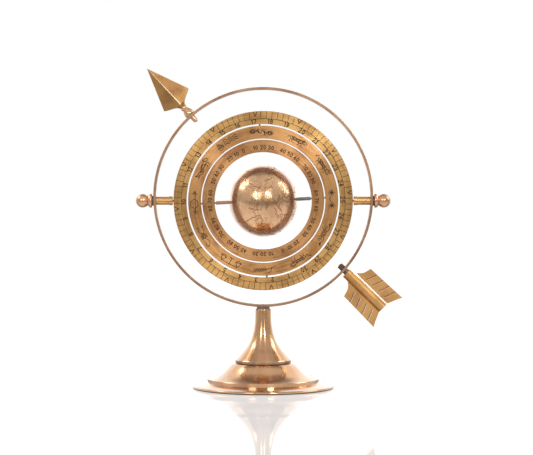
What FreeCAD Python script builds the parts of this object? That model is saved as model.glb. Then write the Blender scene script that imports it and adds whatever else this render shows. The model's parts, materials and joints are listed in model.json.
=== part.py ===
import FreeCAD, Part
import math
import os

# Armillary sphere: a spun foot and a flared stem carry one thin hoop. An arrow crosses the hoop, and
# three flat rings nest and gimbal inside it around a small hollow globe.
# Frame: origin at the centre of the resting face, +Z up, the front faces -Y, the arrow points to -X.

V = FreeCAD.Vector
UP = V(0, 0, 1)
RIGHT = V(1, 0, 0)
LEFT = V(-1, 0, 0)
DEPTH_AXIS = V(0, 1, 0)

# ---- Driving dimensions, in millimetres and degrees ----

RUNNING_CLEARANCE = 0.05        # radial, between a pin and the hole it turns in
FIXED_CLEARANCE = 0.02          # radial, between a pin and the hole that holds it
TRIM = 1.0                      # blanks and drills run this far past the face that they end on

HOOP_OUTER_R = 100.0
HOOP_STRIP = 2.2                # strip thickness
HOOP_WIDTH = 10.0               # strip width, front to back
HOOP_CENTRE_Z = 173.8

RING_CENTRE_Z = 170.5           # the rings hang a little below the hoop's centre
RING_THICKNESS = 3.0
RING_EDGE_BREAK = 0.25
OUTER_RING_R = (69.9, 81.7)     # inner and outer radius
MIDDLE_RING_R = (56.7, 68.4)
INNER_RING_R = (44.3, 55.6)
INNER_CLOCKING = 2.7            # the inner pivots are turned this far from upright and level

PIN_R = 0.8
PIN_ENGAGEMENT = 4.5            # length of pin inside the ring that turns on it
PIN_HOLE_EXTRA = 0.5            # blind holes are deeper than their pins by this much
PIN_RECESS = 0.5                # pins end this far below the ring edge they were driven through

GLOBE_R = 32.8                  # at the seam
GLOBE_POLE_R = 31.2             # along the axle: the pressed halves are a little shallow
GLOBE_WALL = 1.2
GLOBE_LAP = 2.0                 # overlap of the two halves at their seam
SLEEVE_R = 1.55
SLEEVE_GAP = 1.1                # sleeve end to inner ring
SLEEVE_SEAT = 1.6               # sleeve depth inside the globe's wall

STUD_R = 1.5
SPACER_R = 3.75
SPACER_COLLAR_R = 4.05
SPACER_COLLAR = 3.5
SPACER_GAP = 0.6                # spacer end to outer ring
FINIAL_BALL_R = 6.3
FINIAL_BALL_AT = 9.8            # ball centre from the hoop's outer face
FINIAL_NECK_R = 4.3
FINIAL_FLANGE_R = 6.5
FINIAL_WASHER_R = 4.5
FINIAL_WASHER = 1.2

HEAD_SLOPE = 46.7               # the head and the tail are fixed separately and differ a little
HEAD_OFFSET = 3.2               # the head's line misses the hoop's centre by this much
ARROW_TIP_AT = 157.9            # distances along the arrow, from the point nearest the hoop's centre
BARB_AT = 118.8
BARB_HALF_WIDTH = 15.3
BLADE_HALF_DEPTH = 4.4
BLADE_ROOT_AT = 110.0
BLADE_ROOT_R = 2.9
SPIGOT = 1.5                    # blade spigot inside the ferrule
RIDGE_FLAT = 0.6                # half width of the filed flat along each ridge
FERRULE_R = 4.7
RIVET_R = 2.4
RIVET_SHANK_R = 1.6
RIVET_INNER_END = 91.5

TAIL_SLOPE = 44.3
TAIL_OFFSET = 4.2               # the tail's line misses the hoop's centre by this much
TAIL_FRONT_AT = 102.7
TAIL_END_AT = 148.8             # end of the raised rib
RIB_HALF_WIDTH = 5.4
RIB_HEIGHT = 4.0                # of the crown, above the middle plane
RIB_SHOULDER = (3.7, 2.9)       # half width and height where the crown meets the steep flank
VANE_THICKNESS = 1.8
VANE_ROOT_AT = 109.4
VANE_HALF_WIDTH = (17.6, 18.8)  # at the leading and the trailing corner
VANE_CORNER_AT = (115.9, 155.2)
GROOVES_PER_VANE = 4
GROOVE_FIRST_AT = 120.2
GROOVE_PITCH = 7.6
GROOVE_START = 7.7              # inner end of a groove, from the arrow's line
GROOVE_SLANT = 21.0
GROOVE_WIDTH = 2.2
GROOVE_DEPTH = 0.55
TAIL_STUD_R = 1.5
TAIL_STUD_ENGAGEMENT = 8.0
TAIL_STUD_END = 0.6             # the stud shows this far beyond its nut
TAIL_NUT_FLATS = 4.8
TAIL_NUT_HEIGHT = 4.4
TAIL_WASHER_R = 3.0

FOOT_R = 64.4
FOOT_LIP_R = 50.7
DISH_TOP_R = 28.8
DISH_TOP_Z = 22.4
DISH_SKIN = 2.4
FOOT_RIM_Z = 0.9                # the metal rim clears the table by this much
FELT_R = 62.8
FELT_THICKNESS = 1.6
STEM_TOP_Z = 72.0
STEM_TOP_R = 7.2
STEM_FOOT_R = 25.6
TIE_ROD_R = 2.0
TIE_ROD_HEAD = (3.6, 1.6)       # radius and depth of its countersunk head
TIE_ROD_SLOT = (0.9, 0.5)       # width and depth
TIE_ROD_END = 1.5               # the rod shows this far beyond its nut
SEAT_WASHER_R = 6.0
BASE_WASHER = (6.0, 1.5)        # radius and thickness
BASE_NUT = (7.0, 3.2)           # across flats and height

# ---- Values that follow from them ----

HOOP_INNER_R = HOOP_OUTER_R - HOOP_STRIP
HOOP_CENTRE = V(0, 0, HOOP_CENTRE_Z)
RING_CENTRE = V(0, 0, RING_CENTRE_Z)
HOOP_BOTTOM_Z = HOOP_CENTRE_Z - HOOP_OUTER_R
HOOP_FLOOR_Z = HOOP_CENTRE_Z - HOOP_INNER_R

CLOCKING = math.radians(INNER_CLOCKING)
MIDDLE_AXIS = V(-math.sin(CLOCKING), 0, math.cos(CLOCKING))
AXLE_AXIS = V(math.cos(CLOCKING), 0, math.sin(CLOCKING))


def arrow_line(slope, offset, toward):
    """Where a line is nearest the hoop's centre, and its direction: toward is 1 up, -1 down."""
    angle = math.radians(slope)
    origin = HOOP_CENTRE + V(math.sin(angle), 0, math.cos(angle)) * offset
    return origin, V(-math.cos(angle), 0, math.sin(angle)) * toward


def meets(radius, offset):
    """Distance along such a line to a circle about the hoop's centre."""
    return math.sqrt(radius**2 - offset**2)


HEAD_LINE = arrow_line(HEAD_SLOPE, HEAD_OFFSET, 1)
HEAD_OUTSIDE = meets(HOOP_OUTER_R, HEAD_OFFSET)
HEAD_INSIDE = meets(HOOP_INNER_R, HEAD_OFFSET)
TAIL_LINE = arrow_line(TAIL_SLOPE, TAIL_OFFSET, -1)
TAIL_OUTSIDE = meets(HOOP_OUTER_R, TAIL_OFFSET)
TAIL_INSIDE = meets(HOOP_INNER_R, TAIL_OFFSET)


# ---- Shape helpers ----

def outline(start, *steps):
    """Closed face in the XZ plane. A pair steps in a straight line, a list of pairs in one curve."""
    first = V(start[0], 0, start[1])
    here = first
    edges = []
    for step in steps:
        if isinstance(step, list):
            through = [here] + [V(x, 0, z) for x, z in step]
            curve = Part.BSplineCurve()
            curve.interpolate(through)
            edges.append(curve.toShape())
            here = through[-1]
        else:
            there = V(step[0], 0, step[1])
            edges.append(Part.makeLine(here, there))
            here = there
    edges.append(Part.makeLine(here, first))
    return Part.Face(Part.Wire(edges))


def turned(start, *steps):
    """Solid of revolution about Z from an outline of (radius, height) pairs."""
    return outline(start, *steps).revolve(V(0, 0, 0), UP, 360)


def rod(radius, low, high):
    """Cylinder about Z between two heights."""
    return Part.makeCylinder(radius, high - low, V(0, 0, low))


def tube(inner_r, outer_r, low, high):
    """Tube about Z between two heights."""
    return rod(outer_r, low, high).cut(rod(inner_r, low, high))


def hexagon(across_flats, bore_r, low, high):
    """Hexagon nut about Z, with chamfered corners and a plain bore."""
    corner_r = across_flats / math.sqrt(3)
    corners = [
        V(corner_r * math.cos(math.radians(60 * k)), corner_r * math.sin(math.radians(60 * k)), low)
        for k in range(7)
    ]
    prism = Part.Face(Part.makePolygon(corners)).extrude(V(0, 0, high - low))
    chamfer = (corner_r - across_flats / 2) * 0.6
    rounded = turned(
        (0, low), (corner_r - chamfer, low), (corner_r, low + chamfer),
        (corner_r, high - chamfer), (corner_r - chamfer, high), (0, high),
    )
    return prism.common(rounded).cut(rod(bore_r, low, high))


def placed(shape, origin, direction):
    """Moves a shape so that its Z runs along a direction in the XZ plane and its Y stays put."""
    rotation = FreeCAD.Rotation(DEPTH_AXIS.cross(direction), DEPTH_AXIS, direction, "ZYX")
    return shape.transformed(FreeCAD.Placement(origin, rotation).toMatrix(), True)


def ovoid(equator_r, pole_r):
    """Solid ball, flattened along Z."""
    ellipse = Part.Ellipse(V(equator_r, 0, 0), V(0, 0, pole_r), V(0, 0, 0))
    side = Part.ArcOfEllipse(ellipse, -math.pi / 2, math.pi / 2).toShape()
    axis = Part.makeLine(V(0, 0, pole_r), V(0, 0, -pole_r))
    return Part.Face(Part.Wire([side, axis])).revolve(V(0, 0, 0), UP, 360)


def disc_about_y(radius, centre, width):
    """Cylinder about a front-to-back axis, centred on the middle plane."""
    return Part.makeCylinder(radius, width, centre - DEPTH_AXIS * (width / 2), DEPTH_AXIS)


def outside_hoop(shape):
    """The part of a shape that lies outside the hoop, with a saddle that fits its outer face."""
    return shape.cut(disc_about_y(HOOP_OUTER_R, HOOP_CENTRE, 4 * HOOP_WIDTH))


def inside_hoop(shape):
    """The part of a shape that lies inside the hoop, with an end that fits its inner face."""
    return shape.common(disc_about_y(HOOP_INNER_R, HOOP_CENTRE, 4 * HOOP_WIDTH))


def on_head(shape):
    """Places a piece drawn along Z on the line of the arrow's head."""
    return placed(shape, *HEAD_LINE)


def on_tail(shape):
    """Places a piece drawn along Z on the line of the arrow's tail."""
    return placed(shape, *TAIL_LINE)


# ---- Foot and stem ----

def felt_pad():
    return turned((0, 0), (FELT_R, 0), (FELT_R, FELT_THICKNESS), (0, FELT_THICKNESS))


def base_dish():
    """Spun foot: flat top, coved flank, raised lip, sloping flange and a hollow underside."""
    bore = TIE_ROD_R + RUNNING_CLEARANCE
    lip_z = 8.7
    flange_z = (2.6, 5.2)           # at the rim and under the lip
    cove = [(DISH_TOP_R + 1.0, 21.2), (34.6, 16.0), (41.0, 11.0), (46.8, 8.2)]
    lip_top = [(48.6, 8.5), (FOOT_LIP_R - 0.5, lip_z), (FOOT_LIP_R, lip_z - 0.6)]
    cavity = [(40.0, 8.0), (33.0, 13.2), (26.4, DISH_TOP_Z - DISH_SKIN)]
    felt_recess_r = FELT_R + 0.2
    ledge_r = FELT_R - 6.0          # the felt is glued to this narrow ledge
    hollow_r = FOOT_LIP_R - 2.0
    return turned(
        (bore, DISH_TOP_Z),
        (DISH_TOP_R - 0.6, DISH_TOP_Z),
        cove,
        lip_top,
        (FOOT_LIP_R, flange_z[1]),
        (FOOT_R - 0.8, flange_z[0]),
        [(FOOT_R - 0.2, 2.2), (FOOT_R, 1.7)],
        (FOOT_R, FOOT_RIM_Z),
        (felt_recess_r, FOOT_RIM_Z),
        (felt_recess_r, FELT_THICKNESS),
        (ledge_r, FELT_THICKNESS),
        (hollow_r, 2.8),
        (hollow_r, 5.0),
        (46.0, 5.6),
        cavity,
        (bore, DISH_TOP_Z - DISH_SKIN),
    )


def stem():
    """Turned column that flares to an upright lip on top of the foot."""
    bore = TIE_ROD_R + RUNNING_CLEARANCE
    chamfer = 0.4
    flare = [(7.5, 62.0), (9.1, 51.0), (13.0, 40.4), (19.4, 32.0), (STEM_FOOT_R - 0.4, 25.9)]
    return turned(
        (bore, STEM_TOP_Z),
        (STEM_TOP_R - 0.5, STEM_TOP_Z),
        [(STEM_TOP_R - 0.1, STEM_TOP_Z - 0.4), (STEM_TOP_R, STEM_TOP_Z - 1.2)],
        flare,
        (STEM_FOOT_R, 25.3),
        (STEM_FOOT_R, DISH_TOP_Z + chamfer),
        (STEM_FOOT_R - chamfer, DISH_TOP_Z),
        (bore, DISH_TOP_Z),
    )


def tie_rod():
    """Long bolt through foot, stem and hoop; its slotted head lies flush inside the hoop."""
    end = DISH_TOP_Z - DISH_SKIN - BASE_WASHER[1] - BASE_NUT[1] - TIE_ROD_END
    head_r, head_depth = TIE_ROD_HEAD
    slot_width, slot_depth = TIE_ROD_SLOT
    bolt = turned(
        (0, end), (TIE_ROD_R, end), (TIE_ROD_R, HOOP_FLOOR_Z - head_depth),
        (head_r, HOOP_FLOOR_Z), (0, HOOP_FLOOR_Z),
    )
    slot_corner = V(-slot_width / 2, -head_r, HOOP_FLOOR_Z - slot_depth)
    return bolt.cut(Part.makeBox(slot_width, 2 * head_r, 2 * slot_depth, slot_corner))


def bolt_hole():
    """Cutter for the tie rod's countersunk hole in the hoop."""
    head_r, head_depth = TIE_ROD_HEAD
    shank_r = TIE_ROD_R + RUNNING_CLEARANCE
    rise = 0.5
    cone = Part.makeCone(
        TIE_ROD_R + FIXED_CLEARANCE, head_r + FIXED_CLEARANCE + rise * (head_r - TIE_ROD_R) / head_depth,
        head_depth + rise, V(0, 0, HOOP_FLOOR_Z - head_depth),
    )
    return cone.fuse(rod(shank_r, HOOP_BOTTOM_Z - 1, HOOP_FLOOR_Z - head_depth + 0.1))


def base_washer():
    high = DISH_TOP_Z - DISH_SKIN
    return tube(TIE_ROD_R + RUNNING_CLEARANCE, BASE_WASHER[0], high - BASE_WASHER[1], high)


def base_nut():
    high = DISH_TOP_Z - DISH_SKIN - BASE_WASHER[1]
    return hexagon(BASE_NUT[0], TIE_ROD_R + FIXED_CLEARANCE, high - BASE_NUT[1], high)


def hoop_seat_washer():
    blank = tube(TIE_ROD_R + RUNNING_CLEARANCE, SEAT_WASHER_R, STEM_TOP_Z, HOOP_BOTTOM_Z + TRIM)
    return outside_hoop(blank)


# ---- Hoop ----

def hoop():
    """Flat strip rolled into a circle, drilled for the tie rod, the two studs and the arrow."""
    strip = disc_about_y(HOOP_OUTER_R, HOOP_CENTRE, HOOP_WIDTH)
    strip = strip.cut(disc_about_y(HOOP_INNER_R, HOOP_CENTRE, HOOP_WIDTH))
    strip = strip.makeChamfer(0.2, strip.Edges)
    strip = strip.cut(bolt_hole())
    drill = rod(STUD_R + FIXED_CLEARANCE, HOOP_INNER_R - 2 * TRIM, HOOP_OUTER_R + 2 * TRIM)
    strip = strip.cut([placed(drill, RING_CENTRE, RIGHT), placed(drill, RING_CENTRE, LEFT)])
    head_drill = rod(RIVET_SHANK_R + FIXED_CLEARANCE, HEAD_INSIDE - 2 * TRIM, HEAD_OUTSIDE + 2 * TRIM)
    tail_drill = rod(TAIL_STUD_R + FIXED_CLEARANCE, TAIL_INSIDE - 2 * TRIM, TAIL_OUTSIDE + 2 * TRIM)
    return strip.cut([on_head(head_drill), on_tail(tail_drill)])


# ---- Ring pivots on the hoop: each piece is drawn along Z from the ring's centre, then placed ----

def pivot_stud(side):
    """Stud with a turned-down tip that carries the outer ring."""
    spacer_end = OUTER_RING_R[1] + SPACER_GAP
    tip_end = OUTER_RING_R[1] - PIN_ENGAGEMENT
    outer_end = HOOP_OUTER_R + FINIAL_BALL_AT
    stud = turned(
        (0, tip_end), (PIN_R, tip_end), (PIN_R, spacer_end),
        (STUD_R, spacer_end), (STUD_R, outer_end), (0, outer_end),
    )
    return placed(stud, RING_CENTRE, side)


def spacer(side):
    """Tube from the hoop towards the outer ring, with a slightly larger collar at the ring's end."""
    low = OUTER_RING_R[1] + SPACER_GAP
    high = HOOP_INNER_R + TRIM
    bore = STUD_R + FIXED_CLEARANCE
    chamfer = SPACER_COLLAR_R - SPACER_R
    blank = turned(
        (bore, low), (SPACER_COLLAR_R - chamfer, low), (SPACER_COLLAR_R, low + chamfer),
        (SPACER_COLLAR_R, low + SPACER_COLLAR), (SPACER_R, low + SPACER_COLLAR + chamfer),
        (SPACER_R, high), (bore, high),
    )
    return inside_hoop(placed(blank, RING_CENTRE, side))


def finial_washer(side):
    low, high = HOOP_OUTER_R - TRIM, HOOP_OUTER_R + FINIAL_WASHER
    blank = tube(STUD_R + FIXED_CLEARANCE, FINIAL_WASHER_R, low, high)
    return outside_hoop(placed(blank, RING_CENTRE, side))


def finial(side):
    """Knob: flange, waisted neck and ball, with a blind hole for the stud."""
    low = HOOP_OUTER_R + FINIAL_WASHER
    ball_at = HOOP_OUTER_R + FINIAL_BALL_AT
    neck_at = ball_at - math.sqrt(FINIAL_BALL_R**2 - FINIAL_NECK_R**2)
    overlap = 0.4                   # of the flange's neck inside the ball
    bore = STUD_R + FIXED_CLEARANCE
    bore_end = ball_at + PIN_HOLE_EXTRA
    flange = turned(
        (bore, low), (FINIAL_FLANGE_R - 1.0, low),
        [(FINIAL_FLANGE_R, low + 1.0), (FINIAL_FLANGE_R - 0.3, low + 2.2), (FINIAL_NECK_R, neck_at)],
        (FINIAL_NECK_R, neck_at + overlap),
        (bore, neck_at + overlap),
    )
    ball = Part.makeSphere(FINIAL_BALL_R, V(0, 0, ball_at))
    knob = ball.cut(rod(bore, low, bore_end)).fuse(flange).removeSplitter()
    return placed(knob, RING_CENTRE, side)


# ---- Arrow: each piece is drawn along Z from the point nearest the hoop's centre, then placed ----

def blade_section(at, half_width, half_depth, flat):
    """Flattened diamond: sharp at the two sides, with a narrow flat on the front and back ridge."""
    corners = [
        V(half_width, 0, at), V(flat, half_depth, at), V(-flat, half_depth, at),
        V(-half_width, 0, at), V(-flat, -half_depth, at), V(flat, -half_depth, at),
    ]
    return Part.makePolygon(corners + corners[:1])


def arrow_head():
    """Broad wedge of diamond section, its back turned like a bell, with a spigot for the ferrule."""
    growth = (ARROW_TIP_AT - BLADE_ROOT_AT) / (ARROW_TIP_AT - BARB_AT)
    root = blade_section(
        BLADE_ROOT_AT, BARB_HALF_WIDTH * growth, BLADE_HALF_DEPTH * growth, RIDGE_FLAT)
    wedge = Part.makeLoft([root, Part.Vertex(V(0, 0, ARROW_TIP_AT))], True, True)
    around = 2 * BARB_HALF_WIDTH
    bell = turned(
        (0, ARROW_TIP_AT + TRIM), (around, ARROW_TIP_AT + TRIM), (around, BARB_AT + TRIM),
        (BARB_HALF_WIDTH, BARB_AT),
        [(9.8, 115.6), (5.6, 113.2), (3.9, 111.6), (BLADE_ROOT_R, BLADE_ROOT_AT)],
        (0, BLADE_ROOT_AT),
    )
    spigot = rod(RIVET_SHANK_R, BLADE_ROOT_AT - SPIGOT, BLADE_ROOT_AT + TRIM)
    return on_head(wedge.common(bell).fuse(spigot).removeSplitter())


def head_ferrule():
    """Bead-shaped collar with a waist where the blade begins."""
    bore = RIVET_SHANK_R + FIXED_CLEARANCE
    low = HEAD_OUTSIDE - TRIM
    blank = turned(
        (bore, low), (FERRULE_R - 1.0, low),
        [(FERRULE_R, low + 3.4), (FERRULE_R - 0.9, low + 5.8), (BLADE_ROOT_R - 0.1, low + 8.0)],
        [(BLADE_ROOT_R + 0.5, low + 9.4), (BLADE_ROOT_R, BLADE_ROOT_AT)],
        (bore, BLADE_ROOT_AT),
    )
    return outside_hoop(on_head(blank))


def head_rivet():
    """Round-ended stub inside the hoop, with a thinner shank through it into the ferrule."""
    nose_at = RIVET_INNER_END + RIVET_R
    stub = rod(RIVET_R, nose_at, HEAD_INSIDE + TRIM)
    stub = stub.fuse(Part.makeSphere(RIVET_R, V(0, 0, nose_at)))
    shank_end = BLADE_ROOT_AT - SPIGOT - 0.1
    shank = rod(RIVET_SHANK_R, HEAD_INSIDE - TRIM, shank_end)
    return inside_hoop(on_head(stub)).fuse(on_head(shank)).removeSplitter()


def arrow_tail():
    """Flat two-vane flight with slanting grooves, and a raised rib down the middle of each face."""
    flight = rib().fuse([vane(1), vane(-1)]).removeSplitter()
    bore_end = TAIL_FRONT_AT + TAIL_STUD_ENGAGEMENT + PIN_HOLE_EXTRA
    return on_tail(flight.cut(rod(TAIL_STUD_R + FIXED_CLEARANCE, TAIL_FRONT_AT - TRIM, bore_end)))


def rib():
    """Rib section: a rounded crown between steep flanks, the same at the front and the back."""
    shoulder_x, shoulder_y = RIB_SHOULDER
    root_y = VANE_THICKNESS / 2

    def crown(side):
        start = V(side * shoulder_x, side * shoulder_y, 0)
        end = V(-side * shoulder_x, side * shoulder_y, 0)
        return Part.Arc(start, V(0, side * RIB_HEIGHT, 0), end).toShape()

    def flank(side):
        corners = [
            V(-side * shoulder_x, side * shoulder_y, 0), V(-side * RIB_HALF_WIDTH, side * root_y, 0),
            V(-side * RIB_HALF_WIDTH, -side * root_y, 0), V(-side * shoulder_x, -side * shoulder_y, 0),
        ]
        return [Part.makeLine(a, b) for a, b in zip(corners, corners[1:])]

    section = Part.Face(Part.Wire([crown(1), *flank(1), crown(-1), *flank(-1)]))
    section.translate(V(0, 0, TAIL_FRONT_AT))
    return section.extrude(V(0, 0, TAIL_END_AT - TAIL_FRONT_AT))


def vane(side):
    """Flat vane on one side of the rib, grooved on both faces."""
    corner_x, corner_z = VANE_HALF_WIDTH, VANE_CORNER_AT
    face = outline(
        (0, VANE_ROOT_AT),
        (RIB_HALF_WIDTH + 0.6, VANE_ROOT_AT),
        [(7.8, 111.6), (9.9, 113.4), (13.4, 114.8), (corner_x[0], corner_z[0])],
        (corner_x[1], corner_z[1]),
        [(14.4, 152.7), (9.6, 150.7), (RIB_HALF_WIDTH, TAIL_END_AT)],
        (0, TAIL_END_AT),
    )
    face.translate(V(0, -VANE_THICKNESS / 2, 0))
    plate = face.extrude(V(0, VANE_THICKNESS, 0))
    for k in range(GROOVES_PER_VANE):
        plate = plate.cut(groove_cutters(GROOVE_FIRST_AT + k * GROOVE_PITCH))
    return plate if side > 0 else plate.mirror(V(0, 0, 0), RIGHT)


def groove_cutters(at):
    """V-shaped cutters for one slanting groove on both faces of the vane that lies along X."""
    length = 2 * VANE_HALF_WIDTH[1]
    half = VANE_THICKNESS / 2
    above = 0.3                     # the cutter stands this far out of the vane
    reach = GROOVE_WIDTH / 2 * (GROOVE_DEPTH + above) / GROOVE_DEPTH
    cutters = []
    for side in (1, -1):
        bottom = side * (half - GROOVE_DEPTH)
        top = side * (half + above)
        corners = [V(0, bottom, 0), V(0, top, reach), V(0, top, -reach), V(0, bottom, 0)]
        cutter = Part.Face(Part.makePolygon(corners)).extrude(V(length, 0, 0))
        cutter = cutter.rotated(V(0, 0, 0), DEPTH_AXIS, -GROOVE_SLANT)
        cutters.append(cutter.translated(V(GROOVE_START, 0, at)))
    return cutters


def tail_stud():
    low = TAIL_INSIDE - TAIL_NUT_HEIGHT - TAIL_STUD_END
    return on_tail(rod(TAIL_STUD_R, low, TAIL_FRONT_AT + TAIL_STUD_ENGAGEMENT))


def tail_washer():
    """Dark washer with a saddle on the hoop side."""
    bore = TAIL_STUD_R + FIXED_CLEARANCE
    blank = tube(bore, TAIL_WASHER_R, TAIL_OUTSIDE - TRIM, TAIL_FRONT_AT)
    return outside_hoop(on_tail(blank))


def tail_nut():
    low, high = TAIL_INSIDE - TAIL_NUT_HEIGHT, TAIL_INSIDE + TRIM
    return inside_hoop(on_tail(hexagon(TAIL_NUT_FLATS, TAIL_STUD_R + FIXED_CLEARANCE, low, high)))


# ---- Rings ----

def ring_plate(radii):
    """Flat annular plate about the front-to-back axis, with its sharp edges broken."""
    plate = disc_about_y(radii[1], RING_CENTRE, RING_THICKNESS)
    plate = plate.cut(disc_about_y(radii[0], RING_CENTRE, RING_THICKNESS))
    return plate.makeChamfer(RING_EDGE_BREAK, plate.Edges)


def drilled(plate, radius, low, high, axis):
    """Drills a plate radially at both ends of an axis through the ring centre."""
    for direction in (axis, axis * -1):
        plate = plate.cut(placed(rod(radius, low, high), RING_CENTRE, direction))
    return plate


def outer_ring():
    """Turns on the stud tips; holds the two pins of the middle ring."""
    plate = ring_plate(OUTER_RING_R)
    stud_hole = OUTER_RING_R[1] - PIN_ENGAGEMENT - PIN_HOLE_EXTRA
    plate = drilled(plate, PIN_R + RUNNING_CLEARANCE, stud_hole, OUTER_RING_R[1] + TRIM, RIGHT)
    low, high = OUTER_RING_R[0] - TRIM, OUTER_RING_R[1] + TRIM
    return drilled(plate, PIN_R + FIXED_CLEARANCE, low, high, MIDDLE_AXIS)


def middle_ring():
    """Turns on the outer ring's pins; the axle's ends turn in it."""
    plate = ring_plate(MIDDLE_RING_R)
    pin_hole = MIDDLE_RING_R[1] - PIN_ENGAGEMENT - PIN_HOLE_EXTRA
    hole_r = PIN_R + RUNNING_CLEARANCE
    plate = drilled(plate, hole_r, pin_hole, MIDDLE_RING_R[1] + TRIM, MIDDLE_AXIS)
    return drilled(plate, hole_r, MIDDLE_RING_R[0] - TRIM, MIDDLE_RING_R[1] + TRIM, AXLE_AXIS)


def inner_ring():
    """Holds the axle rod."""
    plate = ring_plate(INNER_RING_R)
    low, high = INNER_RING_R[0] - TRIM, INNER_RING_R[1] + TRIM
    return drilled(plate, PIN_R + FIXED_CLEARANCE, low, high, AXLE_AXIS)


def ring_pin(direction):
    """Pin from the outer ring into the middle ring."""
    pin = rod(PIN_R, MIDDLE_RING_R[1] - PIN_ENGAGEMENT, OUTER_RING_R[1] - PIN_RECESS)
    return placed(pin, RING_CENTRE, direction)


def axle_rod():
    """Rod across the inner ring and through the globe."""
    half_length = MIDDLE_RING_R[1] - PIN_RECESS
    return placed(rod(PIN_R, -half_length, half_length), RING_CENTRE, AXLE_AXIS)


# ---- Globe ----

def half_globe(direction, has_tongue):
    """Half shell on one side of the seam, which is stepped: a tongue in one half fits the other."""
    size = 2 * GLOBE_R
    above = Part.makeBox(2 * size, 2 * size, size, V(-size, -size, 0))
    hollow = globe_surface(GLOBE_WALL)
    half = globe_surface(0).cut(hollow).common(above)
    if has_tongue:
        tongue = globe_surface(GLOBE_WALL / 2 + FIXED_CLEARANCE).cut(hollow)
        tongue = tongue.common(Part.makeCylinder(size, GLOBE_LAP, V(0, 0, -GLOBE_LAP)))
        half = half.fuse(tongue).removeSplitter()
    else:
        lap = Part.makeCylinder(size, GLOBE_LAP + FIXED_CLEARANCE)
        half = half.cut(globe_surface(GLOBE_WALL / 2).common(lap))
    half = half.cut(rod(SLEEVE_R + FIXED_CLEARANCE, 0, GLOBE_R + TRIM))
    return placed(half, RING_CENTRE, direction)


def globe_surface(depth):
    """The globe's outer form, or the same form at a depth inside its wall."""
    return ovoid(GLOBE_R - depth, GLOBE_POLE_R - depth)


def axle_sleeve(direction):
    """Bush soldered into the globe's wall; it turns on the axle rod."""
    low = GLOBE_POLE_R - GLOBE_WALL - SLEEVE_SEAT
    high = INNER_RING_R[0] - SLEEVE_GAP
    sleeve = tube(PIN_R + RUNNING_CLEARANCE, SLEEVE_R, low, high)
    return placed(sleeve, RING_CENTRE, direction)


# ---- Assembly ----

def assembly():
    """Every piece in place, by name."""
    down = MIDDLE_AXIS * -1
    axle_left = AXLE_AXIS * -1
    return {
        "felt_pad": felt_pad(),
        "base_dish": base_dish(),
        "stem": stem(),
        "tie_rod": tie_rod(),
        "base_washer": base_washer(),
        "base_nut": base_nut(),
        "hoop_seat_washer": hoop_seat_washer(),
        "hoop": hoop(),
        "left_finial": finial(LEFT),
        "right_finial": finial(RIGHT),
        "left_finial_washer": finial_washer(LEFT),
        "right_finial_washer": finial_washer(RIGHT),
        "left_spacer": spacer(LEFT),
        "right_spacer": spacer(RIGHT),
        "left_pivot_stud": pivot_stud(LEFT),
        "right_pivot_stud": pivot_stud(RIGHT),
        "arrow_head": arrow_head(),
        "head_ferrule": head_ferrule(),
        "head_rivet": head_rivet(),
        "arrow_tail": arrow_tail(),
        "tail_stud": tail_stud(),
        "tail_washer": tail_washer(),
        "tail_nut": tail_nut(),
        "outer_ring": outer_ring(),
        "middle_ring": middle_ring(),
        "inner_ring": inner_ring(),
        "upper_ring_pin": ring_pin(MIDDLE_AXIS),
        "lower_ring_pin": ring_pin(down),
        "axle_rod": axle_rod(),
        "globe_left_shell": half_globe(axle_left, True),
        "globe_right_shell": half_globe(AXLE_AXIS, False),
        "left_axle_sleeve": axle_sleeve(axle_left),
        "right_axle_sleeve": axle_sleeve(AXLE_AXIS),
    }


os.makedirs("parts", exist_ok=True)
for name, shape in assembly().items():
    shape.exportStep(f"parts/{name}.step")
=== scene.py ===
import json
import math
import random

import bmesh
import bpy
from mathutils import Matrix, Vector
from mathutils.geometry import delaunay_2d_cdt


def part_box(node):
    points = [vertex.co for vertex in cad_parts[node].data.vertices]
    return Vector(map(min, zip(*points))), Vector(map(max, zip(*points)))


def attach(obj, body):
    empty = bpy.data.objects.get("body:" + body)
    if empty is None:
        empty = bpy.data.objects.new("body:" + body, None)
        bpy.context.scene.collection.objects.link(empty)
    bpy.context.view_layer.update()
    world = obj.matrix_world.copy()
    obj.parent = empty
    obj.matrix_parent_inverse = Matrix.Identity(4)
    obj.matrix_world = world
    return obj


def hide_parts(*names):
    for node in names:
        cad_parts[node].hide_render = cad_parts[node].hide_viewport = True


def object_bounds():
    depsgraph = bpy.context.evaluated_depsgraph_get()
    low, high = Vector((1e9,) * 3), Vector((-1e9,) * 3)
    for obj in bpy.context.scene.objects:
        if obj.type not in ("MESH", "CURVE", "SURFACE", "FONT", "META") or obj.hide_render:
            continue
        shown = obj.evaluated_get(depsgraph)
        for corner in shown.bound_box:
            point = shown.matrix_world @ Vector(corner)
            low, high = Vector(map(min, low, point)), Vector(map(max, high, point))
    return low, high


# Looks of the armillary sphere: engraved rings and globe, metal finishes, studio, camera.
# Lengths are in metres unless a name says otherwise. Engraving is drawn flat, in millimetres.

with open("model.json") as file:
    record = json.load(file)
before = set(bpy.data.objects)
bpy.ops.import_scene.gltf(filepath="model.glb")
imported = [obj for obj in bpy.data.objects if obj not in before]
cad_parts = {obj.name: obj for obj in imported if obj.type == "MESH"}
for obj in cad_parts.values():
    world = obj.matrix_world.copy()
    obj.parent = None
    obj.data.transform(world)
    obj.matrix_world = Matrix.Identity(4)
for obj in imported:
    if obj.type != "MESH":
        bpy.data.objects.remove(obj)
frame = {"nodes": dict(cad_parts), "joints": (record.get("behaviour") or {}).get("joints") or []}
cad_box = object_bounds()
nodes = frame["nodes"]
joints = {joint["name"]: joint for joint in frame["joints"]}

MM = 0.001
PIVOT = Vector(joints["outer_ring_turn"]["pos_m"])
AXLE = Vector(joints["inner_ring_turn"]["axis"]).normalized()

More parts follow.
